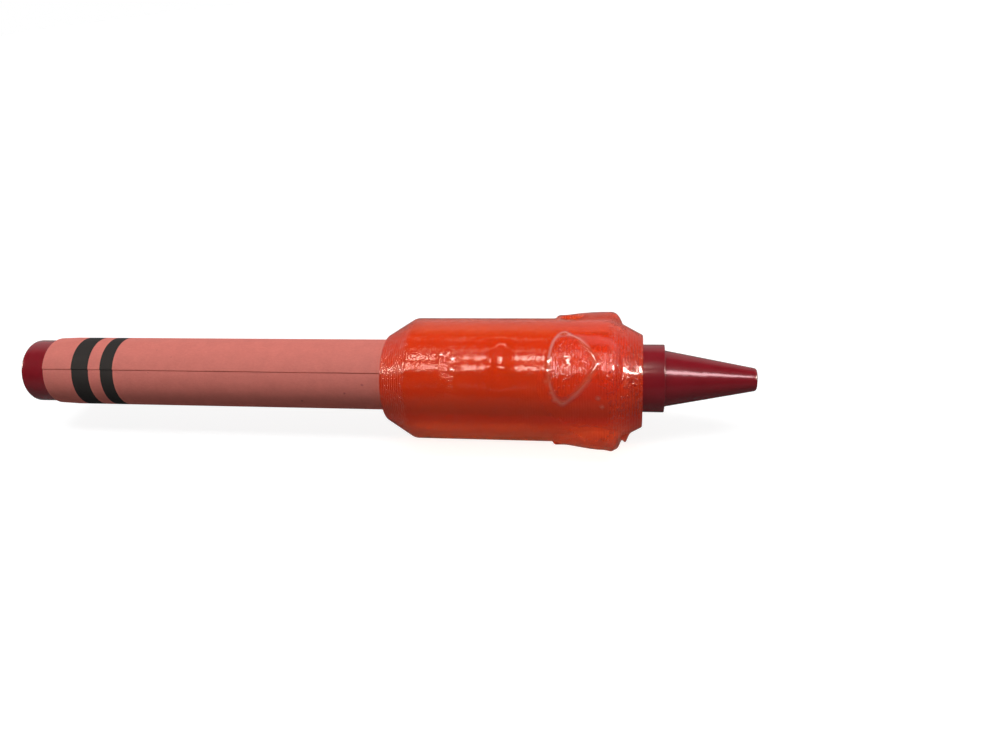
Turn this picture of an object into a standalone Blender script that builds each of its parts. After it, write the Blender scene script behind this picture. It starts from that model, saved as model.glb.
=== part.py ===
"""Writing grip on a wax crayon, modelled at real size in metres, +Z up.

The crayon lies along X with its tip at +X. The printed sleeve stands on two of its four
finger pads, and the crayon slides through the sleeve's bore along X.
"""
import math

import bmesh
import bpy
from mathutils import Vector

# Crayon: one wax casting, base at the rear, collar and cone at the front
CRAYON_LENGTH = 0.0920
WAX_RADIUS = 0.0040
BASE_ROUND = 0.0003
CONE_LENGTH = 0.0105
CONE_ROOT_RADIUS = 0.00332
TIP_RADIUS = 0.0013
TIP_ROUND = 0.0003

# Paper wrapper: a strip wound round the wax, its free edge ending along one line
BARE_BASE = 0.0033
WRAPPER_LENGTH = 0.0736
PAPER_THICKNESS = 0.000125
PAPER_TURNS = 2
GLUE_GAP = 0.00004
CRIMP_LENGTH = 0.0024
CRIMP_DEPTH = 0.0001
FREE_EDGE_ELEVATION = math.radians(34)

# Printed sleeve: a bored cylinder with a chamfer at each end
SLEEVE_LENGTH = 0.0308
BODY_RADIUS = 0.0074
REAR_RIM_RADIUS = 0.00528
REAR_CHAMFER_LENGTH = 0.0035
FRONT_RIM_RADIUS = 0.00545
FRONT_CHAMFER_LENGTH = 0.0036
CRAYON_STANDS_OUT = 0.0130
SLEEVE_HANGS = 0.0004
BORE_CLEARANCE = 0.00008

# Finger pads: ramps with a dished top, spaced evenly round the sleeve
PAD_COUNT = 4
FIRST_PAD_ELEVATION = math.radians(45)
PAD_LENGTH = 0.0080
PAD_WIDTH = 0.0086
PAD_SETBACK = 0.0025
PAD_ROUND_END = 0.0017
PAD_REAR_STEP = 0.00033
PAD_RISE = 0.00086
PAD_RAMP_LENGTH = 0.0054
PAD_NOSE_LENGTH = 0.0011
PAD_EDGE_SHARE = 0.35
PAD_ROUNDING_STARTS = 0.88
PAD_ROOT_DEPTH = 0.0014
PAD_NOSE_DEPTH = 0.0005
PAD_FRONT_SQUARENESS = 3.5
DISH_LENGTH = 0.0050
DISH_DEPTH = 0.00015
DISH_FRONT_SQUARENESS = 1.3

# Facets. On the unit disc that a pad is made from, the root lies at height 0 and the top at 1
SLEEVE_SIDES = 24
WAX_SIDES = 64
WRAPPER_SIDES = 80
ROUND_STEPS = 4
PAD_OUTLINE_POINTS = 44
PAD_RINGS = 8
PAD_RING_CROWDING = 1.7
ROOT_TO_TOP_MIDDLE = 0.5
WELD_DISTANCE = 0.000001

# Sizes that follow from the ones above
WRAPPER_BORE_RADIUS = WAX_RADIUS + GLUE_GAP
WRAPPER_OUTER_RADIUS = WRAPPER_BORE_RADIUS + (PAPER_TURNS + 1) * PAPER_THICKNESS
BORE_FLAT_RADIUS = WRAPPER_OUTER_RADIUS + SLEEVE_HANGS + BORE_CLEARANCE
SLEEVE_BORE_RADIUS = BORE_FLAT_RADIUS / math.cos(math.pi / SLEEVE_SIDES)
CRAYON_BASE_X = -CRAYON_LENGTH / 2
SLEEVE_REAR_X = CRAYON_LENGTH / 2 - CRAYON_STANDS_OUT - SLEEVE_LENGTH
PAD_REAR = SLEEVE_LENGTH - PAD_SETBACK - PAD_LENGTH

# A turned piece is drawn round local Z, and this turn lays local +Z along world +X
LAID_ALONG_X = (0, math.pi / 2, 0)

# Colours, roughness and metallic value of each material
ORANGE_PLASTIC = ((0.62, 0.07, 0.018, 1.0), 0.22, 0.0)
RED_WAX = ((0.21, 0.012, 0.018, 1.0), 0.38, 0.0)
PINK_PAPER = ((0.52, 0.13, 0.10, 1.0), 0.72, 0.0)


def clear_scene():
    for item in list(bpy.data.objects):
        bpy.data.objects.remove(item, do_unlink=True)


def new_collection(name):
    collection = bpy.data.collections.new(name)
    bpy.context.scene.collection.children.link(collection)
    return collection


def make_material(name, finish):
    colour, roughness, metallic = finish
    material = bpy.data.materials.new(name)
    material.use_nodes = True
    shader = material.node_tree.nodes["Principled BSDF"]
    shader.inputs["Base Color"].default_value = colour
    shader.inputs["Roughness"].default_value = roughness
    shader.inputs["Metallic"].default_value = metallic
    material.diffuse_color = colour
    return material


def new_object(name, mesh, collection, material=None):
    item = bpy.data.objects.new(name, mesh)
    collection.objects.link(item)
    if material is not None:
        mesh.materials.append(material)
    return item


def angle_round_axis(elevation):
    """Local angle of a direction that the world sees at an elevation above -Y."""
    return -math.pi / 2 - elevation


def quarter_round(start, end, centre):
    """Points of a quarter circle from start to end, the start left out."""
    points = []
    for step in range(1, ROUND_STEPS + 1):
        turn = math.pi / 2 * step / ROUND_STEPS
        across = (end - centre) * math.sin(turn) + (start - centre) * math.cos(turn)
        points.append(centre + across)
    return points


def turned_piece(name, profile, sides, closed, collection, material=None):
    """Revolve a profile of (radius, height) points, listed from the top down its outer side.

    The profile starts half a side round, so that the piece lies on a flat and not on an edge.
    """
    bm = bmesh.new()
    half_side = Vector((math.cos(math.pi / sides), math.sin(math.pi / sides)))
    verts = [bm.verts.new((*(half_side * radius), height)) for radius, height in profile]
    for first, second in zip(verts, verts[1:]):
        bm.edges.new((first, second))
    if closed:
        bm.edges.new((verts[-1], verts[0]))
    mesh = bpy.data.meshes.new(name)
    bm.to_mesh(mesh)
    bm.free()
    item = new_object(name, mesh, collection, material)
    screw = item.modifiers.new("Revolve", "SCREW")
    screw.axis = "Z"
    screw.angle = 2 * math.pi
    screw.steps = sides
    screw.render_steps = sides
    screw.use_merge_vertices = True
    screw.merge_threshold = WELD_DISTANCE
    return item


def wax_profile():
    """Outline of the wax from the tip down to the base."""
    tip_corner = Vector((TIP_RADIUS, CRAYON_LENGTH))
    cone_root = Vector((CONE_ROOT_RADIUS, CRAYON_LENGTH - CONE_LENGTH))
    down_cone = (cone_root - tip_corner).normalized()
    points = [Vector((0, CRAYON_LENGTH))]
    # The tip's edge is rounded between its flat end and the cone
    before = tip_corner - Vector((TIP_ROUND, 0))
    after = tip_corner + down_cone * TIP_ROUND
    for step in range(ROUND_STEPS + 1):
        share = step / ROUND_STEPS
        first = before.lerp(tip_corner, share)
        second = tip_corner.lerp(after, share)
        points.append(first.lerp(second, share))
    points.append(cone_root)
    points.append(Vector((WAX_RADIUS, CRAYON_LENGTH - CONE_LENGTH)))
    base_start = Vector((WAX_RADIUS, BASE_ROUND))
    base_end = Vector((WAX_RADIUS - BASE_ROUND, 0))
    points.append(base_start)
    points += quarter_round(base_start, base_end, Vector((WAX_RADIUS - BASE_ROUND, BASE_ROUND)))
    points.append(Vector((0, 0)))
    return points


def make_wax_stick(collection, material):
    return turned_piece("wax_stick", wax_profile(), WAX_SIDES, False, collection, material)


def extrude_cap(bm, cap, height, radial_growth):
    """Extrude a level cap upward and grow it outward by a fixed distance."""
    result = bmesh.ops.extrude_face_region(bm, geom=[cap])
    new_verts = [g for g in result["geom"] if isinstance(g, bmesh.types.BMVert)]
    for vert in new_verts:
        outward = Vector((vert.co.x, vert.co.y, 0)).normalized()
        vert.co += outward * radial_growth + Vector((0, 0, height))
    return next(g for g in result["geom"] if isinstance(g, bmesh.types.BMFace))


def make_wrapper(collection, cutters, material):
    """Wound paper: the outside is one turn of a spiral, with a step at the free edge."""
    bm = bmesh.new()
    circle = bmesh.ops.create_circle(bm, cap_ends=True, segments=WRAPPER_SIDES + 1, radius=1)
    edge_angle = angle_round_axis(FREE_EDGE_ELEVATION)
    for index, vert in enumerate(circle["verts"]):
        turn = index / WRAPPER_SIDES
        radius = WRAPPER_OUTER_RADIUS - PAPER_THICKNESS * turn - CRIMP_DEPTH
        angle = edge_angle - 2 * math.pi * turn
        vert.co = (radius * math.cos(angle), radius * math.sin(angle), BARE_BASE)
    crimp_start = bm.faces[:][0]
    crimp_end = extrude_cap(bm, crimp_start, CRIMP_LENGTH, CRIMP_DEPTH)
    extrude_cap(bm, crimp_end, WRAPPER_LENGTH - CRIMP_LENGTH, 0.0)
    bmesh.ops.delete(bm, geom=[crimp_end], context="FACES_ONLY")
    bmesh.ops.recalc_face_normals(bm, faces=bm.faces[:])
    mesh = bpy.data.meshes.new("paper_wrapper")
    bm.to_mesh(mesh)
    bm.free()
    wrapper = new_object("paper_wrapper", mesh, collection, material)
    bore = round_cutter("wrapper_bore", WRAPPER_BORE_RADIUS, WAX_SIDES, cutters)
    cut(wrapper, bore)
    return wrapper


def round_cutter(name, radius, sides, cutters):
    """A cutter longer than the crayon, on its axis."""
    bm = bmesh.new()
    bmesh.ops.create_cone(
        bm, cap_ends=True, segments=sides, radius1=radius, radius2=radius, depth=2 * CRAYON_LENGTH
    )
    mesh = bpy.data.meshes.new(name)
    bm.to_mesh(mesh)
    bm.free()
    return hide_cutter(new_object(name, mesh, cutters))


def hide_cutter(item):
    item.hide_render = True
    item.display_type = "WIRE"
    return item


def cut(target, cutter, operation="DIFFERENCE"):
    boolean = target.modifiers.new(cutter.name, "BOOLEAN")
    boolean.operation = operation
    boolean.solver = "EXACT"
    boolean.object = cutter


def sleeve_profile():
    """Closed section of the sleeve's wall, from the front bore edge down the outside."""
    return [
        (SLEEVE_BORE_RADIUS, SLEEVE_LENGTH),
        (FRONT_RIM_RADIUS, SLEEVE_LENGTH),
        (BODY_RADIUS, SLEEVE_LENGTH - FRONT_CHAMFER_LENGTH),
        (BODY_RADIUS, REAR_CHAMFER_LENGTH),
        (REAR_RIM_RADIUS, 0),
        (SLEEVE_BORE_RADIUS, 0),
    ]


def signed_power(value, exponent):
    return math.copysign(abs(value) ** exponent, value)


def pad_outline(angle):
    """Point of the pad's outline: distance ahead of its widest line, and across."""
    ahead, across = math.cos(angle), math.sin(angle)
    if ahead < 0:
        return PAD_ROUND_END * ahead, PAD_WIDTH / 2 * across
    power = 2 / PAD_FRONT_SQUARENESS
    front = PAD_LENGTH - PAD_ROUND_END
    return front * signed_power(ahead, power), PAD_WIDTH / 2 * signed_power(across, power)


def dish_depth(ahead, across):
    """Depth of the finger dish, an egg with its blunt end at the rear."""
    if ahead < 0:
        power, reach = 2.0, PAD_ROUND_END
    else:
        power, reach = DISH_FRONT_SQUARENESS, DISH_LENGTH - PAD_ROUND_END
    share = (abs(ahead) / reach) ** power + (abs(across) / (PAD_WIDTH / 2)) ** power
    inside = max(0.0, 1.0 - share ** (2 / power))
    return DISH_DEPTH * inside ** 2


def pad_height(ahead, across, ring):
    """Height of the pad's top over the body: ramp, dish, rounded edge and steep nose."""
    from_rear = ahead + PAD_ROUND_END
    ramp = min(1.0, from_rear / PAD_RAMP_LENGTH)
    crown = PAD_REAR_STEP + (PAD_RISE - PAD_REAR_STEP) * ramp - dish_depth(ahead, across)
    past = max(0.0, (ring - PAD_ROUNDING_STARTS) / (1 - PAD_ROUNDING_STARTS))
    rounded = math.sqrt(max(0.0, 1.0 - past ** 2))
    height = crown * (PAD_EDGE_SHARE + (1 - PAD_EDGE_SHARE) * rounded)
    into_nose = max(0.0, from_rear - (PAD_LENGTH - PAD_NOSE_LENGTH)) / PAD_NOSE_LENGTH
    return height - (PAD_RISE + PAD_NOSE_DEPTH) * into_nose


def pad_point(disc_x, disc_y, is_top):
    """A point of the unit disc set on the pad: angle from its middle, radius and height."""
    ring = min(1.0, math.hypot(disc_x, disc_y))
    ahead, across = pad_outline(math.atan2(disc_y, disc_x))
    ahead, across = ahead * ring, across * ring
    rise = pad_height(ahead, across, ring) if is_top else -PAD_ROOT_DEPTH
    return across / BODY_RADIUS, BODY_RADIUS + rise, PAD_REAR + PAD_ROUND_END + ahead


def pad_disc():
    """A unit disc with a root below it and rings crowded to its rim."""
    bm = bmesh.new()
    bmesh.ops.create_circle(bm, cap_ends=True, segments=PAD_OUTLINE_POINTS, radius=1)
    result = bmesh.ops.extrude_face_region(bm, geom=bm.faces[:])
    top = next(g for g in result["geom"] if isinstance(g, bmesh.types.BMFace))
    for vert in top.verts:
        vert.co.z = 1
    ring_scale = 1.0
    for ring in range(PAD_RINGS - 1, 0, -1):
        next_scale = 1 - (1 - ring / PAD_RINGS) ** PAD_RING_CROWDING
        bmesh.ops.inset_individual(bm, faces=[top], thickness=ring_scale - next_scale)
        ring_scale = next_scale
    bmesh.ops.poke(bm, faces=[top])
    return bm


def make_pad(index, cutters):
    bm = pad_disc()
    middle = angle_round_axis(FIRST_PAD_ELEVATION + 2 * math.pi * index / PAD_COUNT)
    for vert in bm.verts:
        turn, radius, height = pad_point(vert.co.x, vert.co.y, vert.co.z > ROOT_TO_TOP_MIDDLE)
        angle = middle - turn
        vert.co = (radius * math.cos(angle), radius * math.sin(angle), height)
    bmesh.ops.recalc_face_normals(bm, faces=bm.faces[:])
    name = f"finger_pad_{index + 1}"
    mesh = bpy.data.meshes.new(name)
    bm.to_mesh(mesh)
    bm.free()
    return hide_cutter(new_object(name, mesh, cutters))


def standing_height():
    """Height of the sleeve's axis when its lowest pads touch the ground."""
    bm = pad_disc()
    reach = BODY_RADIUS
    for index in range(PAD_COUNT):
        elevation = FIRST_PAD_ELEVATION + 2 * math.pi * index / PAD_COUNT
        for vert in bm.verts:
            turn, radius, _ = pad_point(vert.co.x, vert.co.y, vert.co.z > ROOT_TO_TOP_MIDDLE)
            reach = max(reach, -radius * math.sin(elevation + turn))
    bm.free()
    return reach


def make_sleeve(collection, cutters, material):
    sleeve = turned_piece("grip_sleeve", sleeve_profile(), SLEEVE_SIDES, True, collection, material)
    for index in range(PAD_COUNT):
        pad = make_pad(index, cutters)
        pad.parent = sleeve
        cut(sleeve, pad, "UNION")
    return sleeve


def shade(item, crease):
    item.data.shade_smooth()
    item.data.set_sharp_from_angle(angle=crease)


def main():
    clear_scene()
    parts = new_collection("writing_grip")
    cutters = new_collection("cutters")

    sleeve_axis_z = standing_height()
    sleeve = make_sleeve(parts, cutters, make_material("orange_plastic", ORANGE_PLASTIC))
    sleeve.location = (SLEEVE_REAR_X, 0, sleeve_axis_z)
    sleeve.rotation_euler = LAID_ALONG_X

    # The crayon's two pieces hang on an empty that lies on the slide's axis
    crayon = bpy.data.objects.new("crayon_axis", None)
    parts.objects.link(crayon)
    crayon.location = (CRAYON_BASE_X, 0, sleeve_axis_z + SLEEVE_HANGS)
    crayon.rotation_euler = LAID_ALONG_X
    wax = make_wax_stick(parts, make_material("red_wax", RED_WAX))
    wrapper = make_wrapper(parts, cutters, make_material("pink_paper", PINK_PAPER))
    wax.parent = crayon
    wrapper.parent = crayon
    bpy.data.objects["wrapper_bore"].parent = crayon

    for item in (sleeve, wax, wrapper):
        shade(item, math.radians(30))


main()
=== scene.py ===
"""Looks of a printed finger grip on a paper-wrapped wax crayon.

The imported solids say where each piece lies. Each is replaced by a finer piece: the see-through
printed sleeve with its layer lines and dished pads, the wound paper with its free edge, and the
moulded wax.
"""
import math

import bmesh
import bpy
from mathutils import Matrix, Vector

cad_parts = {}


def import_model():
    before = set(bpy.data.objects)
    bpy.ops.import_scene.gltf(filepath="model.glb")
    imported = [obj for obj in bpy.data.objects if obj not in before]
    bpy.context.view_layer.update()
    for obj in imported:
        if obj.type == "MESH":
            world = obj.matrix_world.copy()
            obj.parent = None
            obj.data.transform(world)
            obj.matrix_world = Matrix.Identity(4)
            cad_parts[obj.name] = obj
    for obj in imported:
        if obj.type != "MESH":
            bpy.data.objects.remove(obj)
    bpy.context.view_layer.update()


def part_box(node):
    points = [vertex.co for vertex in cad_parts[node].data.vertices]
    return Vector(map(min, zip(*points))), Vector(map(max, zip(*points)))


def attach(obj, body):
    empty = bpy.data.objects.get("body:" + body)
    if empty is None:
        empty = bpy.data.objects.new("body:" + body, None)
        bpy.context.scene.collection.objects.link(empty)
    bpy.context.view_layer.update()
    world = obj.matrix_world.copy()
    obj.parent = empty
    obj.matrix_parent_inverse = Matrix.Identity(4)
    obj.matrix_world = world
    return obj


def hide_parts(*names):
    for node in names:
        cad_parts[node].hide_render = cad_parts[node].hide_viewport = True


MM = 0.001

# Printed sleeve: radii, chamfers, layers, and how far the layers' grit reaches past a chamfer
BODY_RADIUS = 7.4 * MM
BORE_RADIUS = 4.92 * MM
REAR_RIM_RADIUS = 5.28 * MM
REAR_CHAMFER_LENGTH = 3.5 * MM
FRONT_RIM_RADIUS = 5.45 * MM
FRONT_CHAMFER_LENGTH = 3.6 * MM
RIM_ROUND = 0.15 * MM
CHAMFER_ROUND = 0.35 * MM
LAYER_PITCH = 0.3 * MM
REAR_SLOPE_FADE = 0.5 * MM
FRONT_SLOPE_FADE = 0.6 * MM

# Mesh steps of the sleeve: round it, along it, over the pads and on the end faces and bore
SLEEVE_ROUND_STEPS = 384
SLEEVE_RING_STEP = 0.26 * MM
PAD_RING_STEP = 0.13 * MM
PAD_RINGS_START = 11.5 * MM
SLEEVE_WIDE_STEP = 1.2 * MM

# Vertices closer than this to a bore's radius belong to the bore
BORE_MARGIN = 0.01 * MM

# Bead round the dish of a pad
BEAD_HEIGHT = 0.13 * MM
FAINT_BEAD_HEIGHT = 0.03 * MM
BEAD_WIDTH = 0.28 * MM

# Where a pad's side starts to fall, as shares of its half width at its rear and its front
SHOWN_SIDE = (0.74, 0.25)
SOFT_SIDE = (0.15, 0.25)
FULL_SIDE = (0.8, 0.8)

# Finger pads: elevation, side below, side above, and height of the bead
PADS = [
    (math.radians(45), SHOWN_SIDE, SHOWN_SIDE, BEAD_HEIGHT),
    (math.radians(135), SHOWN_SIDE, FULL_SIDE, FAINT_BEAD_HEIGHT),
    (math.radians(225), FULL_SIDE, FULL_SIDE, BEAD_HEIGHT),
    (math.radians(315), FULL_SIDE, SOFT_SIDE, 0.0),
]
PAD_LENGTH = 8.15 * MM
PAD_WIDTH = 8.6 * MM
PAD_SETBACK = 2.35 * MM
PAD_ROUND_END = 1.7 * MM
PAD_REAR_STEP = 0.36 * MM
PAD_RISE = 0.86 * MM
PAD_RAMP_LENGTH = 5.4 * MM
PAD_EDGE_STARTS = 0.79
PAD_FRONT_SQUARENESS = 3.5
DISH_LENGTH = 5.4 * MM
DISH_DEPTH = 0.16 * MM
DISH_FRONT_SQUARENESS = 1.2
DISH_GRIT_FADE = 0.6 * MM

# Widest place of a pad, from the sleeve's front, and what lies ahead of it
PAD_MIDDLE_FROM_FRONT = PAD_SETBACK + PAD_LENGTH - PAD_ROUND_END
PAD_FRONT_REACH = PAD_LENGTH - PAD_ROUND_END
DISH_FRONT_REACH = DISH_LENGTH - PAD_ROUND_END

# Oval hollow with a raised rim in the body, from the sleeve's front
HOLLOW_FROM_FRONT = 21.75 * MM
HOLLOW_ELEVATION = math.radians(42)
HOLLOW_LENGTH = 2.3 * MM
HOLLOW_WIDTH = 5.6 * MM
HOLLOW_DEPTH = 0.08 * MM
HOLLOW_RIM = 0.04 * MM
HOLLOW_RIM_WIDTH = 0.22

# Smooth shallow dimple in the body, from the sleeve's front
DIMPLE_FROM_FRONT = 16.0 * MM
DIMPLE_ELEVATION = math.radians(47)
DIMPLE_LENGTH = 3.0 * MM
DIMPLE_WIDTH = 7.0 * MM
DIMPLE_DEPTH = 0.21 * MM
DIMPLE_SOFT_MIDDLE = 0.06
DIMPLE_FADE_STARTS = 0.3
SMOOTH_FADE_STARTS = 0.6

# Lumps of plastic left by the printing: mm from the front, elevation in degrees, and size and
# height in mm
LUMPS = [
    (place * MM, math.radians(middle), size * MM, height * MM)
    for place, middle, size, height in [
        (3.5, -54, 0.6, 0.16),
        (2.7, -60, 0.5, 0.5),
        (1.9, -57, 0.34, 0.8),
        (3.2, -47, 0.3, 0.12),
        (21.6, 50, 0.26, 0.09),
        (21.6, 40, 0.26, 0.09),
        (22.2, 31, 0.5, 0.12),
        (22.9, 54, 0.3, 0.07),
        (8.7, 52, 0.34, 0.07),
        (8.4, 47, 0.32, 0.06),
        (16.9, 44, 0.45, 0.04),
        (16.1, 43.5, 0.45, 0.035),
        (10.35, 50.5, 0.3, 0.1),
        (10.35, 40, 0.3, 0.1),
        (10.7, 31, 0.24, 0.08),
        (10.1, 21.6, 0.24, 0.08),
        (9.7, 14.8, 0.24, 0.08),
        (5.9, 49, 0.2, 0.05),
        (5.2, 53, 0.2, 0.05),
        (4.6, 46, 0.2, 0.05),
        (3.4, 55, 0.2, 0.05),
        (2.7, 45, 0.2, 0.05),
        (4.9, 17, 0.2, 0.05),
        (4.5, 9, 0.18, 0.05),
    ]
]

# Lumps smaller than this get a painted highlight, a paler colour standing in for glints on them,
# and a glossy coat
SMALL_LUMP = 0.35 * MM

# Crayon
WAX_RADIUS = 4.0 * MM
BASE_ROUND = 0.3 * MM
CONE_LENGTH = 10.5 * MM
CONE_ROOT_RADIUS = 3.32 * MM
TIP_RADIUS = 1.3 * MM
TIP_ROUND = 0.3 * MM
COLLAR_ROUND = 0.12 * MM
WAX_ROUND_STEPS = 192
WAX_RING_STEP = 1.0 * MM
CONE_RING_STEP = 0.5 * MM

# Paper wrapper
WRAPPER_BORE_RADIUS = 4.04 * MM
WRAPPER_OUTER_RADIUS = 4.415 * MM
PAPER_THICKNESS = 0.125 * MM
CRIMP_LENGTH = 2.4 * MM
CRIMP_DEPTH = 0.1 * MM
WRAPPER_EDGE_ROUND = 0.03 * MM
FREE_EDGE_ELEVATION = math.radians(34)
WRAPPER_ROUND_STEPS = 360
WRAPPER_RING_STEP = 0.7 * MM
CRIMP_RING_STEP = 0.4 * MM
WRAPPER_END_STEP = 1.0 * MM
WRAPPER_BORE_STEP = 6.0 * MM

# Black rings printed on the paper, from its rear edge
PRINTED_RINGS = [(4.1 * MM, 6.5 * MM), (8.1 * MM, 9.9 * MM)]
INK_EDGE = 0.05 * MM

# Colours: red, green, blue and 1
PLASTIC_DEEP = (0.86, 0.072, 0.012, 1.0)
PLASTIC_LIGHT = (0.92, 0.11, 0.02, 1.0)
# Painted glow: lighter, redder plastic towards the front, standing in for light scattered in the
# thicker plastic there
PLASTIC_FRONT_PAINTED_GLOW = (1.0, 0.075, 0.015, 1.0)
# Painted highlight: paler plastic on beads and small lumps, standing in for glints of the lamps
PLASTIC_PAINTED_GLINT = (0.98, 0.36, 0.18, 1.0)
PLASTIC_LIT_THROUGH = (0.97, 0.75, 0.6, 1.0)
WAX_DEEP = (0.24, 0.006, 0.013, 1.0)
WAX_LIGHT = (0.3, 0.011, 0.021, 1.0)
PAPER_DEEP = (0.68, 0.165, 0.13, 1.0)
PAPER_LIGHT = (0.8, 0.225, 0.18, 1.0)
PAPER_MOTTLE = (0.45, 0.1, 0.08, 1.0)
PAPER_FLECK = (0.25, 0.03, 0.03, 1.0)
INK = (0.015, 0.013, 0.013, 1.0)
WHITE = (1.0, 1.0, 1.0, 1.0)
FLOOR_DULL = (0.2, 0.2, 0.2, 1.0)
FLOOR_SHADED = (0.3, 0.3, 0.3, 1.0)

# Depth of the relief that the finish gives
LAYER_DEPTH = 0.012 * MM
RIPPLE_DEPTH = 0.045 * MM
PIMPLE_DEPTH = 0.035 * MM
WAX_RIPPLE_DEPTH = 0.03 * MM
FIBRE_DEPTH = 0.012 * MM

# Plastic: bending of light, share let through, and where the painted glow towards its front starts
# and ends: a lighter, redder colour standing in for light scattered in the thicker plastic there
OUTSIDE_IOR = 1.5
BORE_IOR = 1.35
COAT_IOR = 2.3
COAT_ROUGHNESS = 0.08
PLASTIC_TRANSMISSION = 0.66
PAINTED_GLOW_FRONT = (19 * MM, 27 * MM)

# Camera: the photograph's lens and angle
SENSOR_WIDTH = 36.0
LENS = 29.45
CAMERA_ELEVATION = math.radians(32)
CAMERA_SWING = 0.159
CAMERA_ROLL = 0.013
CAMERA_AIM_X = 15.92 * MM
CAMERA_RISE = 0.157 * MM
CAMERA_DISTANCE = 99.54 * MM

# Light on all sides, and from the pale backdrop behind the object
AMBIENT_LEVEL = 0.22
AMBIENT_MIRRORED = 0.04
BACKDROP_LEVEL = 0.7
BACKDROP_FRONT_EDGE = (0.05, 0.3)
BACKDROP_TOP_EDGE = (0.8, 0.65)

# Floor
FLOOR_RADIUS = 0.5
FLOOR_GLOW = 0.85
FLOOR_SEEN_THROUGH_SHARE = 0.8

# Lamps: distance from the line along X that they all face, height of that line, and tints
LAMP_DISTANCE = 1.2
LAMP_AIM_HEIGHT = 8 * MM
WARM = (1.0, 0.88, 0.76)
ROSY = (1.0, 0.68, 0.72)

# Name, degrees above the camera's direction, x, length, height and power
KEY_LAMP = ("key", 43, 0.05, 1.3, 0.35, 10.5)

# Narrow lamps that only make highlights: the same, and colour
HIGHLIGHTS = [
    ("window_upper", 39.5, -0.175, 0.37, 0.13, 2.4, WARM),
    ("window_lower", 21.0, -0.175, 0.37, 0.13, 2.4, WARM),
    ("gleam_high", 79.0, -0.175, 0.37, 0.035, 0.17, WARM),
    ("gleam_upper", 55.0, -0.175, 0.37, 0.05, 0.36, WARM),
    ("gleam_lower", -13.5, -0.175, 0.37, 0.02, 0.07, WARM),
    ("gleam_cone", 27.0, 0.62, 0.4, 0.3, 8.5, ROSY),
    ("gleam_front", 34.0, 1.9, 1.2, 0.5, 90.0, WARM),
    ("gleam_rear", 32.0, -3.6, 3.0, 0.4, 150.0, WARM),
]


def soft_corner(before, corner, after, reach, steps=4):
    """Points of a small curve that rounds a corner of an outline."""
    start = corner + (before - corner).normalized() * reach
    end = corner + (after - corner).normalized() * reach
    points = []
    for step in range(steps + 1):
        share = step / steps
        points.append(start.lerp(corner, share).lerp(corner.lerp(end, share), share))
    return points


def outline(corners, closed):
    """Points along corners given as (x, radius, rounding, spacing to the next corner)."""
    places = [Vector((x, radius)) for x, radius, _, _ in corners]
    points = []
    for index, (_, _, reach, step) in enumerate(corners):
        inner = closed or 0 < index < len(corners) - 1
        place = places[index]
        following = places[(index + 1) % len(places)]
        if reach > 0 and inner:
            arc = soft_corner(places[index - 1], place, following, reach)
        else:
            arc = [place]
        if points:
            points += between(points[-1], arc[0], last_step)
        points += arc
        last_step = step
    if closed:
        points += between(points[-1], points[0], last_step)
    return points


def between(start, end, step):
    """Evenly spaced points between two others, both left out."""
    count = max(1, math.ceil((end - start).length / step))
    return [start.lerp(end, index / count) for index in range(1, count)]


def turned(points, axis_z, steps, start_elevation, closed):
    """Spin an outline of (x, radius) points once round a line along X."""
    bm = bmesh.new()
    side = Vector((0, -math.cos(start_elevation), math.sin(start_elevation)))
    centre = Vector((0, 0, axis_z))
    verts = [bm.verts.new(centre + Vector((x, 0, 0)) + side * radius) for x, radius in points]
    for first, second in zip(verts, verts[1:]):
        bm.edges.new((first, second))
    if closed:
        bm.edges.new((verts[-1], verts[0]))
    bmesh.ops.spin(
        bm, geom=bm.verts[:] + bm.edges[:], cent=centre, axis=(1, 0, 0), dvec=(0, 0, 0),
        angle=2 * math.pi, steps=steps, use_merge=True,
    )
    bmesh.ops.remove_doubles(bm, verts=bm.verts[:], dist=0.0001 * MM)
    bmesh.ops.recalc_face_normals(bm, faces=bm.faces[:])
    return bm


def finished(name, bm, *materials, crease=math.radians(50)):
    """Make an object of a mesh, smooth but for edges sharper than the crease."""
    mesh = bpy.data.meshes.new(name)
    bm.to_mesh(mesh)
    bm.free()
    mesh.shade_smooth()
    mesh.set_sharp_from_angle(angle=crease)
    for material in materials:
        mesh.materials.append(material)
    piece = bpy.data.objects.new(name, mesh)
    bpy.context.scene.collection.objects.link(piece)
    return piece


def polar(point, axis_z):
    """Radius and elevation of a point round a line along X, elevation 0 facing -Y."""
    height = point.z - axis_z
    return math.hypot(point.y, height), math.atan2(height, -point.y)


def set_radius(vert, axis_z, radius, elevation):
    """Move a vertex to a radius and elevation round a line along X."""
    vert.co.y = -radius * math.cos(elevation)
    vert.co.z = axis_z + radius * math.sin(elevation)


def turn_from(elevation, start):
    """Signed turn from one elevation to another, between half a turn back and half ahead."""
    return (elevation - start + math.pi) % (2 * math.pi) - math.pi


def smooth_step(low, high, value):
    """0 below low, 1 above high and smooth between them."""
    share = min(1.0, max(0.0, (value - low) / (high - low)))
    return share * share * (3 - 2 * share)


def gauge(ahead, across, rear, front, half_width, squareness):
    """1 on an egg-shaped outline, less inside and more outside."""
    if ahead < 0:
        return math.hypot(ahead / rear, across / half_width)
    total = (ahead / front) ** squareness + (abs(across) / half_width) ** squareness
    return total ** (1 / squareness)


def dish_gauge(ahead, across):
    """1 on the edge of a pad's dish, less inside and more outside."""
    half_width = PAD_WIDTH / 2
    reach = DISH_FRONT_REACH
    return gauge(ahead, across, PAD_ROUND_END, reach, half_width, DISH_FRONT_SQUARENESS)


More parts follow.
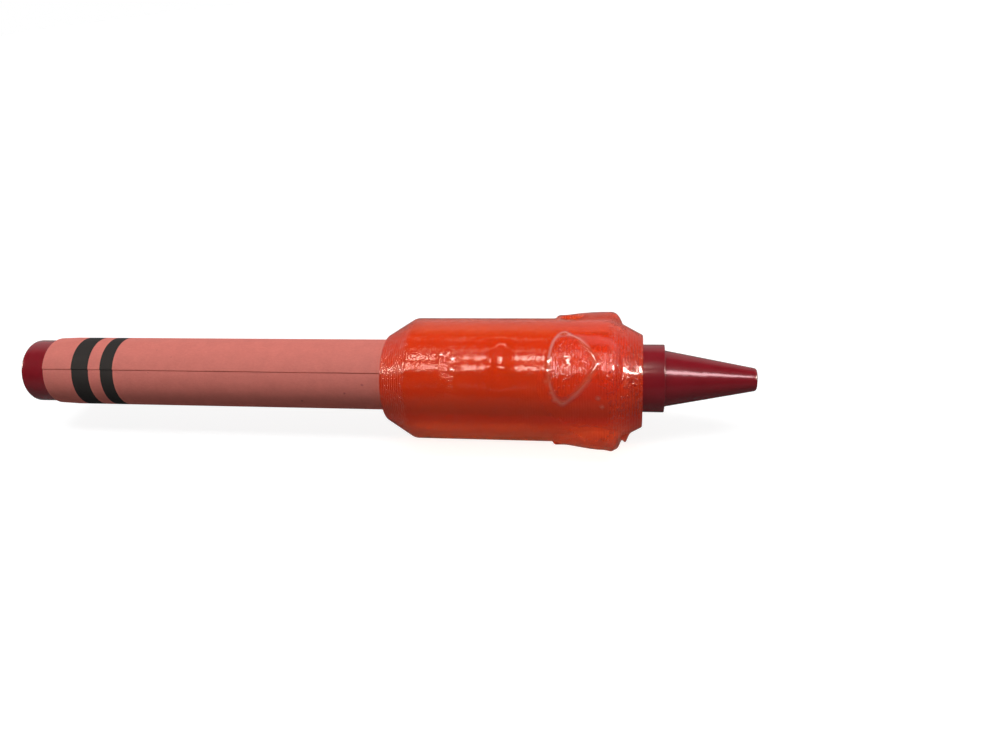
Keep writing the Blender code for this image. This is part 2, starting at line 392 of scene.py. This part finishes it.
def on_pad(radius, ahead, across, side):
    """Radius where a finger pad lies over the plain turned shape, with its dish."""
    half_width = PAD_WIDTH / 2
    reach = PAD_FRONT_REACH
    ring = gauge(ahead, across, PAD_ROUND_END, reach, half_width, PAD_FRONT_SQUARENESS)
    if ring >= 1:
        return radius
    ramp = min(1.0, (ahead + PAD_ROUND_END) / PAD_RAMP_LENGTH)
    dish = DISH_DEPTH * max(0.0, 1 - dish_gauge(ahead, across) ** 2) ** 2
    top = BODY_RADIUS + PAD_REAR_STEP + (PAD_RISE - PAD_REAR_STEP) * ramp - dish
    edge_starts = PAD_EDGE_STARTS if ahead > 0 else side[0]
    into_edge = max(0.0, ring - edge_starts) / (1 - edge_starts)
    wall_starts = side[0] + (side[1] - side[0]) * smooth_step(0.0, reach / 2, ahead)
    share = 1 - into_edge ** 2
    share *= 1 - smooth_step(wall_starts, 1.0, abs(across) / half_width)
    return radius + (top - radius) * share


def bead_share(ahead, across):
    """1 along the dish's edge, falling to 0 beside it."""
    size = dish_gauge(ahead, across)
    off_edge = (size - 1) * math.hypot(ahead, across) / max(size, 0.1)
    return math.exp(-((off_edge / BEAD_WIDTH) ** 2))


def hollow_gauge(from_front, elevation):
    """1 on the edge of the oval hollow, less inside and more outside."""
    along = (from_front - HOLLOW_FROM_FRONT) / (HOLLOW_LENGTH / 2)
    across = turn_from(elevation, HOLLOW_ELEVATION) * BODY_RADIUS / (HOLLOW_WIDTH / 2)
    return math.hypot(along, across)


def hollow_rise(from_front, elevation):
    """Height of the hollow's rim, less the depth inside it."""
    size = hollow_gauge(from_front, elevation)
    rim = HOLLOW_RIM * math.exp(-(((size - 1) / HOLLOW_RIM_WIDTH) ** 2))
    return rim - HOLLOW_DEPTH * max(0.0, 1 - size ** 2)


def dimple_place(from_front, elevation):
    """How far along and across the dimple a point is, as shares of its half length and width."""
    along = abs(from_front - DIMPLE_FROM_FRONT) / (DIMPLE_LENGTH / 2)
    across = abs(turn_from(elevation, DIMPLE_ELEVATION)) * BODY_RADIUS / (DIMPLE_WIDTH / 2)
    return along, across


def dimple_depth(from_front, elevation):
    """Depth of the dimple, a trough across the body with soft ends."""
    along, across = dimple_place(from_front, elevation)
    share = max(0.0, 1 - math.hypot(along, DIMPLE_SOFT_MIDDLE))
    return DIMPLE_DEPTH * share * (1 - smooth_step(DIMPLE_FADE_STARTS, 1.0, across))


def smooth_share(from_front, elevation):
    """1 in the dimple, where the layers hardly show, and 0 off it."""
    along, across = dimple_place(from_front, elevation)
    across_share = 1 - smooth_step(SMOOTH_FADE_STARTS, 1.0, across)
    return (1 - smooth_step(0.9, 1.1, along)) * across_share


def lump_share(from_front, elevation, place, middle, size):
    """1 at the middle of a lump, falling to 0 round it."""
    off = abs(from_front - place)
    if off > 3 * size:
        return 0.0
    away = math.hypot(off, turn_from(elevation, middle) * BODY_RADIUS)
    return math.exp(-((away / size) ** 2))


def sleeve_relief(from_front, radius, elevation):
    """Radius of the printed outside where the plain turned shape has this radius."""
    ahead = PAD_MIDDLE_FROM_FRONT - from_front
    if abs(ahead) < PAD_LENGTH:
        for pad_elevation, below, above, bead_height in PADS:
            across = turn_from(elevation, pad_elevation) * BODY_RADIUS
            if abs(across) < PAD_WIDTH:
                radius = on_pad(radius, ahead, across, below if across < 0 else above)
                radius += bead_height * bead_share(ahead, across)
    radius += hollow_rise(from_front, elevation) - dimple_depth(from_front, elevation)
    for place, middle, size, height in LUMPS:
        radius += height * lump_share(from_front, elevation, place, middle, size)
    return radius


def ridge_glint_share(from_front, elevation):
    """How far the plastic is raised in a bead or a small lump, made bright there by a painted
    highlight and a glossy coat.
    """
    ahead = PAD_MIDDLE_FROM_FRONT - from_front
    share = 0.0
    if abs(ahead) < PAD_LENGTH:
        for pad_elevation, _, _, bead_height in PADS:
            across = turn_from(elevation, pad_elevation) * BODY_RADIUS
            if abs(across) < PAD_WIDTH:
                share = max(share, bead_share(ahead, across) * bead_height / BEAD_HEIGHT)
    for place, middle, size, _ in LUMPS:
        if size < SMALL_LUMP:
            share = max(share, lump_share(from_front, elevation, place, middle, size))
    return share


def print_grit(from_front, from_rear, elevation):
    """How much the layers show: full on slopes, faint on the straight body."""
    rear_share = smooth_step(0, REAR_SLOPE_FADE, from_rear - REAR_CHAMFER_LENGTH)
    front_share = smooth_step(0, FRONT_SLOPE_FADE, from_front - FRONT_CHAMFER_LENGTH)
    grit = 1 - min(rear_share, front_share)
    ahead = PAD_MIDDLE_FROM_FRONT - from_front
    for pad_elevation, _, _, _ in PADS:
        across = abs(turn_from(elevation, pad_elevation)) * BODY_RADIUS
        over_pad = 1 - smooth_step(0.5, 0.95, across / (PAD_WIDTH / 2))
        past_dish = smooth_step(DISH_FRONT_REACH - DISH_GRIT_FADE, DISH_LENGTH, ahead)
        size = dish_gauge(ahead, across)
        round_centre = smooth_step(0.2, 0.5, size) * (1 - smooth_step(0.8, 1.0, size))
        grit = max(grit, over_pad * past_dish, 0.7 * round_centre)
    in_hollow = 1 - smooth_step(0.8, 1.3, hollow_gauge(from_front, elevation))
    return max(grit, 0.7 * in_hollow)


def make_sleeve(outside, bore):
    """The printed sleeve, with how it is printed written on its vertices."""
    lowest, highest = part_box("grip_sleeve")
    rear, front = lowest.x, highest.x
    axis_z = (lowest.z + highest.z) / 2
    fine, coarse = SLEEVE_RING_STEP, SLEEVE_WIDE_STEP
    corners = [
        (rear, BORE_RADIUS, RIM_ROUND, coarse),
        (rear, REAR_RIM_RADIUS, RIM_ROUND, fine),
        (rear + REAR_CHAMFER_LENGTH, BODY_RADIUS, CHAMFER_ROUND, fine),
        (front - PAD_RINGS_START, BODY_RADIUS, 0, PAD_RING_STEP),
        (front - FRONT_CHAMFER_LENGTH, BODY_RADIUS, CHAMFER_ROUND, PAD_RING_STEP),
        (front, FRONT_RIM_RADIUS, RIM_ROUND, coarse),
        (front, BORE_RADIUS, RIM_ROUND, coarse),
    ]
    bm = turned(outline(corners, True), axis_z, SLEEVE_ROUND_STEPS, 0.0, True)
    grit = bm.verts.layers.float.new("grit")
    smooth = bm.verts.layers.float.new("smooth")
    # Raised beads and small lumps, which the plastic gives a painted highlight and a glossy coat
    ridge_glint = bm.verts.layers.float.new("ridge_glint")
    inner_limit = BORE_RADIUS + BORE_MARGIN
    for vert in bm.verts:
        radius, elevation = polar(vert.co, axis_z)
        if radius > REAR_RIM_RADIUS:
            from_front = front - vert.co.x
            set_radius(vert, axis_z, sleeve_relief(from_front, radius, elevation), elevation)
            vert[grit] = print_grit(from_front, vert.co.x - rear, elevation)
            vert[smooth] = smooth_share(from_front, elevation)
            vert[ridge_glint] = ridge_glint_share(from_front, elevation)
    for face in bm.faces:
        if all(polar(vert.co, axis_z)[0] < inner_limit for vert in face.verts):
            face.material_index = 1
    return finished("printed_sleeve", bm, outside, bore)


def make_wax(material):
    """The moulded wax: base, straight part, collar and cone."""
    lowest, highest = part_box("wax_stick")
    rear, front = lowest.x, highest.x
    axis_z = (lowest.z + highest.z) / 2
    cone_root = front - CONE_LENGTH
    corners = [
        (front, 0.0, 0, CONE_RING_STEP),
        (front, TIP_RADIUS, TIP_ROUND, CONE_RING_STEP),
        (cone_root, CONE_ROOT_RADIUS, COLLAR_ROUND, CONE_RING_STEP),
        (cone_root, WAX_RADIUS, COLLAR_ROUND, WAX_RING_STEP),
        (rear, WAX_RADIUS, BASE_ROUND, WAX_RING_STEP),
        (rear, 0.0, 0, WAX_RING_STEP),
    ]
    bm = turned(outline(corners, False), axis_z, WAX_ROUND_STEPS, 0.0, False)
    return finished("moulded_wax", bm, material)


def make_wrapper(material):
    """The wound paper: thinner by one layer from its free edge round, and crimped at its rear."""
    lowest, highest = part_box("paper_wrapper")
    wax_low, wax_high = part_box("wax_stick")
    rear, front = lowest.x, highest.x
    axis_z = (wax_low.z + wax_high.z) / 2
    corners = [
        (rear, WRAPPER_BORE_RADIUS, 0, WRAPPER_END_STEP),
        (rear, WRAPPER_OUTER_RADIUS, WRAPPER_EDGE_ROUND, CRIMP_RING_STEP),
        (rear + CRIMP_LENGTH, WRAPPER_OUTER_RADIUS, 0, WRAPPER_RING_STEP),
        (front, WRAPPER_OUTER_RADIUS, WRAPPER_EDGE_ROUND, WRAPPER_END_STEP),
        (front, WRAPPER_BORE_RADIUS, 0, WRAPPER_BORE_STEP),
    ]
    half_cell = math.pi / WRAPPER_ROUND_STEPS
    start = FREE_EDGE_ELEVATION + half_cell
    bm = turned(outline(corners, True), axis_z, WRAPPER_ROUND_STEPS, start, True)
    inner_limit = WRAPPER_BORE_RADIUS + BORE_MARGIN
    for vert in bm.verts:
        radius, elevation = polar(vert.co, axis_z)
        if radius > inner_limit:
            turn = (elevation - FREE_EDGE_ELEVATION) % (2 * math.pi) / (2 * math.pi)
            crimp = max(0.0, 1 - (vert.co.x - rear) / CRIMP_LENGTH)
            radius -= PAPER_THICKNESS * turn + CRIMP_DEPTH * crimp
            set_radius(vert, axis_z, radius, elevation)
    return finished("wound_wrapper", bm, material)


class Signal:
    """A number that changes over a surface, for use in sums and products."""

    def __init__(self, finish, socket):
        self.finish = finish
        self.socket = socket

    def maths(self, operation, *values):
        return self.finish.add("ShaderNodeMath", {"operation": operation}, dict(enumerate(values)))

    def __add__(self, other):
        return self.maths("ADD", self, other)

    def __radd__(self, other):
        return self.maths("ADD", other, self)

    def __sub__(self, other):
        return self.maths("SUBTRACT", self, other)

    def __rsub__(self, other):
        return self.maths("SUBTRACT", other, self)

    def __mul__(self, other):
        return self.maths("MULTIPLY", self, other)

    def __rmul__(self, other):
        return self.maths("MULTIPLY", other, self)

    def sine(self):
        return self.maths("SINE", self)

    def above(self, low, high):
        """0 below low, 1 above high and smooth between them. With low over high it falls."""
        inputs = {"Value": self, "From Min": min(low, high), "From Max": max(low, high)}
        if low > high:
            inputs.update({"To Min": 1.0, "To Max": 0.0})
        settings = {"interpolation_type": "SMOOTHSTEP"}
        return self.finish.add("ShaderNodeMapRange", settings, inputs)


class Finish:
    """The nodes of a material or of the world."""

    def __init__(self, owner, coordinates="Object"):
        owner.use_nodes = True
        self.owner = owner
        self.tree = owner.node_tree
        self.tree.nodes.clear()
        self.coordinates = self.add("ShaderNodeTexCoord", {}, {}, coordinates)

    def add(self, kind, settings, inputs, output=0):
        """Add a node: settings first, then the values or links of its sockets."""
        node = self.tree.nodes.new(kind)
        for name, value in settings.items():
            setattr(node, name, value)
        for name, value in inputs.items():
            if isinstance(value, Signal):
                self.tree.links.new(value.socket, node.inputs[name])
            else:
                node.inputs[name].default_value = value
        return Signal(self, node.outputs[output]) if node.outputs else None

    def axis(self, index):
        """One of the coordinates."""
        return self.add("ShaderNodeSeparateXYZ", {}, {"Vector": self.coordinates}, index)

    def attribute(self, name):
        return self.add("ShaderNodeAttribute", {"attribute_name": name}, {}, "Fac")

    def is_ray(self, kind):
        return self.add("ShaderNodeLightPath", {}, {}, "Is " + kind + " Ray")

    def stretched(self, x, y, z):
        """Object coordinates scaled along each axis."""
        return self.add(
            "ShaderNodeVectorMath", {"operation": "MULTIPLY"}, {0: self.coordinates, 1: (x, y, z)}
        )

    def noise(self, vector, scale, detail=2.0, roughness=0.5):
        inputs = {"Vector": vector, "Scale": scale, "Detail": detail, "Roughness": roughness}
        return self.add("ShaderNodeTexNoise", {}, inputs, 0)

    def blend(self, factor, first, second):
        """Mix of two colours."""
        inputs = {0: factor, 6: first, 7: second}
        return self.add("ShaderNodeMix", {"data_type": "RGBA"}, inputs, 2)

    def bump(self, height, distance, normal=None):
        inputs = {"Height": height, "Distance": distance, "Strength": 1.0}
        if normal is not None:
            inputs["Normal"] = normal
        return self.add("ShaderNodeBump", {}, inputs)

    def principled(self, inputs):
        return self.add("ShaderNodeBsdfPrincipled", {}, inputs)

    def choose(self, factor, first, second):
        """First shader where the factor is 0, second where it is 1."""
        return self.add("ShaderNodeMixShader", {}, {0: factor, 1: first, 2: second})

    def show(self, surface, output="ShaderNodeOutputMaterial"):
        self.add(output, {}, {"Surface": surface})
        return self.owner


def printed_plastic(name, ior):
    """Orange see-through plastic. Lamps reach what lies behind it through a plain tint.

    The sleeve's vertices say how gritty, smooth or ridged the plastic is at each place, and where
    beads and small lumps get a painted highlight.
    """
    finish = Finish(bpy.data.materials.new(name))
    grit = finish.attribute("grit")
    smooth = finish.attribute("smooth")
    wander = finish.noise(finish.stretched(1.0, 0.6, 0.6), 700.0, 2.0)
    layer = (finish.axis(0) * (2 * math.pi / LAYER_PITCH) + wander * 3.0).sine()
    patches = finish.noise(finish.stretched(1.0, 0.5, 0.5), 420.0, 3.0).above(0.4, 0.65)
    specks = finish.noise(finish.stretched(0.7, 1.0, 1.0), 1700.0, 2.0).above(0.52, 0.66)
    lines = layer * (grit * (1.0 + 3.0 * specks) + patches * 0.4 + 0.1)
    normal = finish.bump(lines, LAYER_DEPTH)
    ripple = finish.noise(finish.stretched(1.0, 0.7, 0.7), 2200.0, 2.0)
    normal = finish.bump(ripple * (1 - smooth), RIPPLE_DEPTH, normal)
    pimples = finish.noise(finish.coordinates, 2000.0, 1.0).above(0.52, 0.66)
    normal = finish.bump(pimples * grit, PIMPLE_DEPTH, normal)
    tone = finish.noise(finish.coordinates, 160.0, 2.0)
    colour = finish.blend(tone, PLASTIC_DEEP, PLASTIC_LIGHT)
    # Painted glow: the colour turns lighter and redder towards the front, standing in for light
    # scattered in the thicker plastic
    painted_front_glow = finish.axis(0).above(*PAINTED_GLOW_FRONT)
    colour = finish.blend(painted_front_glow * 0.7, colour, PLASTIC_FRONT_PAINTED_GLOW)
    # Painted highlight: beads and small lumps turn paler, standing in for glints of the lamps on
    # them
    ridge_glint = finish.attribute("ridge_glint")
    colour = finish.blend(ridge_glint * 0.6, colour, PLASTIC_PAINTED_GLINT)
    plastic = finish.principled({
        "Base Color": colour,
        "Roughness": 0.13 - smooth * 0.05,
        "IOR": ior,
        "Transmission Weight": PLASTIC_TRANSMISSION,
        "Coat Weight": ridge_glint + pimples * grit * 0.25,
        "Coat IOR": COAT_IOR,
        "Coat Roughness": COAT_ROUGHNESS,
        "Normal": normal,
    })
    lit_through = finish.add("ShaderNodeBsdfTransparent", {}, {"Color": PLASTIC_LIT_THROUGH})
    shadow_ray = finish.is_ray("Shadow")
    passes = shadow_ray.maths("MAXIMUM", shadow_ray, finish.is_ray("Diffuse"))
    return finish.show(finish.choose(passes, plastic, lit_through))


def red_wax():
    """Smooth, slightly clouded wax."""
    finish = Finish(bpy.data.materials.new("red_wax"))
    cloud = finish.noise(finish.coordinates, 500.0, 3.0)
    colour = finish.blend(cloud, WAX_DEEP, WAX_LIGHT)
    normal = finish.bump(finish.noise(finish.coordinates, 700.0, 2.0), WAX_RIPPLE_DEPTH)
    surface = finish.principled({"Base Color": colour, "Roughness": 0.2, "Normal": normal})
    return finish.show(surface)


def pink_paper():
    """Matt fibrous paper with flecks and two printed rings."""
    finish = Finish(bpy.data.materials.new("pink_paper"))
    fibre = finish.noise(finish.stretched(1.0, 2.0, 2.0), 2500.0, 4.0, 0.6)
    colour = finish.blend(fibre, PAPER_DEEP, PAPER_LIGHT)
    mottle = finish.noise(finish.coordinates, 650.0, 3.0).above(0.3, 0.7)
    colour = finish.blend(mottle * 0.12, colour, PAPER_MOTTLE)
    flecks = finish.noise(finish.coordinates, 900.0, 1.0).above(0.75, 0.81)
    colour = finish.blend(flecks * 0.5, colour, PAPER_FLECK)
    along = finish.axis(0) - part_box("paper_wrapper")[0].x
    for start, end in PRINTED_RINGS:
        ring = along.above(start, start + INK_EDGE) * along.above(end, end - INK_EDGE)
        colour = finish.blend(ring, colour, INK)
    normal = finish.bump(fibre, FIBRE_DEPTH)
    surface = finish.principled({
        "Base Color": colour, "Roughness": 0.75, "Specular IOR Level": 0.3, "Normal": normal,
    })
    return finish.show(surface)


def make_floor():
    """Dull grey to the light, and white with the object's shadow where it is seen."""
    finish = Finish(bpy.data.materials.new("pale_floor"))
    lit = finish.add("ShaderNodeBsdfDiffuse", {}, {"Color": FLOOR_DULL})
    shaded = finish.add("ShaderNodeBsdfDiffuse", {}, {"Color": FLOOR_SHADED})
    glow = finish.add("ShaderNodeEmission", {}, {"Strength": FLOOR_GLOW})
    white = finish.add("ShaderNodeAddShader", {}, {0: shaded, 1: glow})
    seen_through = finish.is_ray("Transmission") * FLOOR_SEEN_THROUGH_SHARE
    surface = finish.choose(seen_through, lit, white)
    surface = finish.choose(finish.is_ray("Camera"), surface, white)
    bm = bmesh.new()
    bmesh.ops.create_circle(bm, cap_ends=True, segments=64, radius=FLOOR_RADIUS)
    finished("floor", bm, finish.show(surface))


def make_world():
    """Dim all round, pale behind the object below mid height, and white where it is seen."""
    world = bpy.data.worlds.new("studio")
    bpy.context.scene.world = world
    sky = Finish(world, "Generated")
    behind = sky.axis(1).above(*BACKDROP_FRONT_EDGE) * sky.axis(2).above(*BACKDROP_TOP_EDGE)
    ambient = AMBIENT_LEVEL - sky.is_ray("Glossy") * (AMBIENT_LEVEL - AMBIENT_MIRRORED)
    level = behind * (BACKDROP_LEVEL - AMBIENT_LEVEL) + ambient
    light = sky.add("ShaderNodeBackground", {}, {"Color": WHITE, "Strength": level})
    white = sky.add("ShaderNodeBackground", {}, {"Color": WHITE, "Strength": 1.0})
    seen = sky.is_ray("Camera")
    surface = sky.choose(seen.maths("MAXIMUM", seen, sky.is_ray("Transmission")), light, white)
    sky.show(surface, "ShaderNodeOutputWorld")


def soft_lamp(name, above_camera, x, length, height, power):
    """A soft lamp along X, above the camera's direction by an angle in degrees."""
    lamp = bpy.data.lights.new(name, "AREA")
    lamp.shape = "RECTANGLE"
    lamp.size = length
    lamp.size_y = height
    lamp.energy = power
    item = bpy.data.objects.new(name, lamp)
    bpy.context.scene.collection.objects.link(item)
    elevation = CAMERA_ELEVATION + math.radians(above_camera)
    away = Vector((0, -math.cos(elevation), math.sin(elevation)))
    item.location = Vector((x, 0, LAMP_AIM_HEIGHT)) + away * LAMP_DISTANCE
    item.rotation_euler = (math.pi / 2 - elevation, 0, 0)
    return item


def make_lights():
    """One lamp for the light itself, and narrow ones that only make the highlights."""
    soft_lamp(*KEY_LAMP).visible_glossy = False
    for *place, colour in HIGHLIGHTS:
        item = soft_lamp(*place)
        item.visible_diffuse = False
        item.visible_transmission = False
        item.data.color = colour


def make_camera():
    """Place the camera of the photograph: its aim, then elevation, roll and swing."""
    wax_low, wax_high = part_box("wax_stick")
    aim = Vector((CAMERA_AIM_X, 0, (wax_low.z + wax_high.z) / 2))
    turn = (
        Matrix.Rotation(-CAMERA_ELEVATION, 4, "X")
        @ Matrix.Rotation(-CAMERA_ROLL, 4, "Y")
        @ Matrix.Rotation(CAMERA_SWING, 4, "Z")
        @ Matrix.Rotation(math.pi / 2, 4, "X")
    )
    camera = bpy.data.cameras.new("camera")
    camera.sensor_width = SENSOR_WIDTH
    camera.lens = LENS
    camera.clip_start = 0.005
    item = bpy.data.objects.new("camera", camera)
    bpy.context.scene.collection.objects.link(item)
    back = turn @ Vector((0, CAMERA_RISE, CAMERA_DISTANCE))
    item.matrix_world = Matrix.Translation(aim + back) @ turn
    bpy.context.scene.camera = item


def main():
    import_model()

    outside = printed_plastic("orange_plastic_outside", OUTSIDE_IOR)
    bore = printed_plastic("orange_plastic_bore", BORE_IOR)
    sleeve = make_sleeve(outside, bore)
    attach(sleeve, "grip")
    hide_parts("grip_sleeve")

    wax = make_wax(red_wax())
    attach(wax, "crayon")
    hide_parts("wax_stick")

    wrapper = make_wrapper(pink_paper())
    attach(wrapper, "crayon")
    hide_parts("paper_wrapper")

    make_floor()
    make_world()
    make_lights()
    make_camera()
    bpy.context.scene.view_settings.view_transform = "Standard"


main()
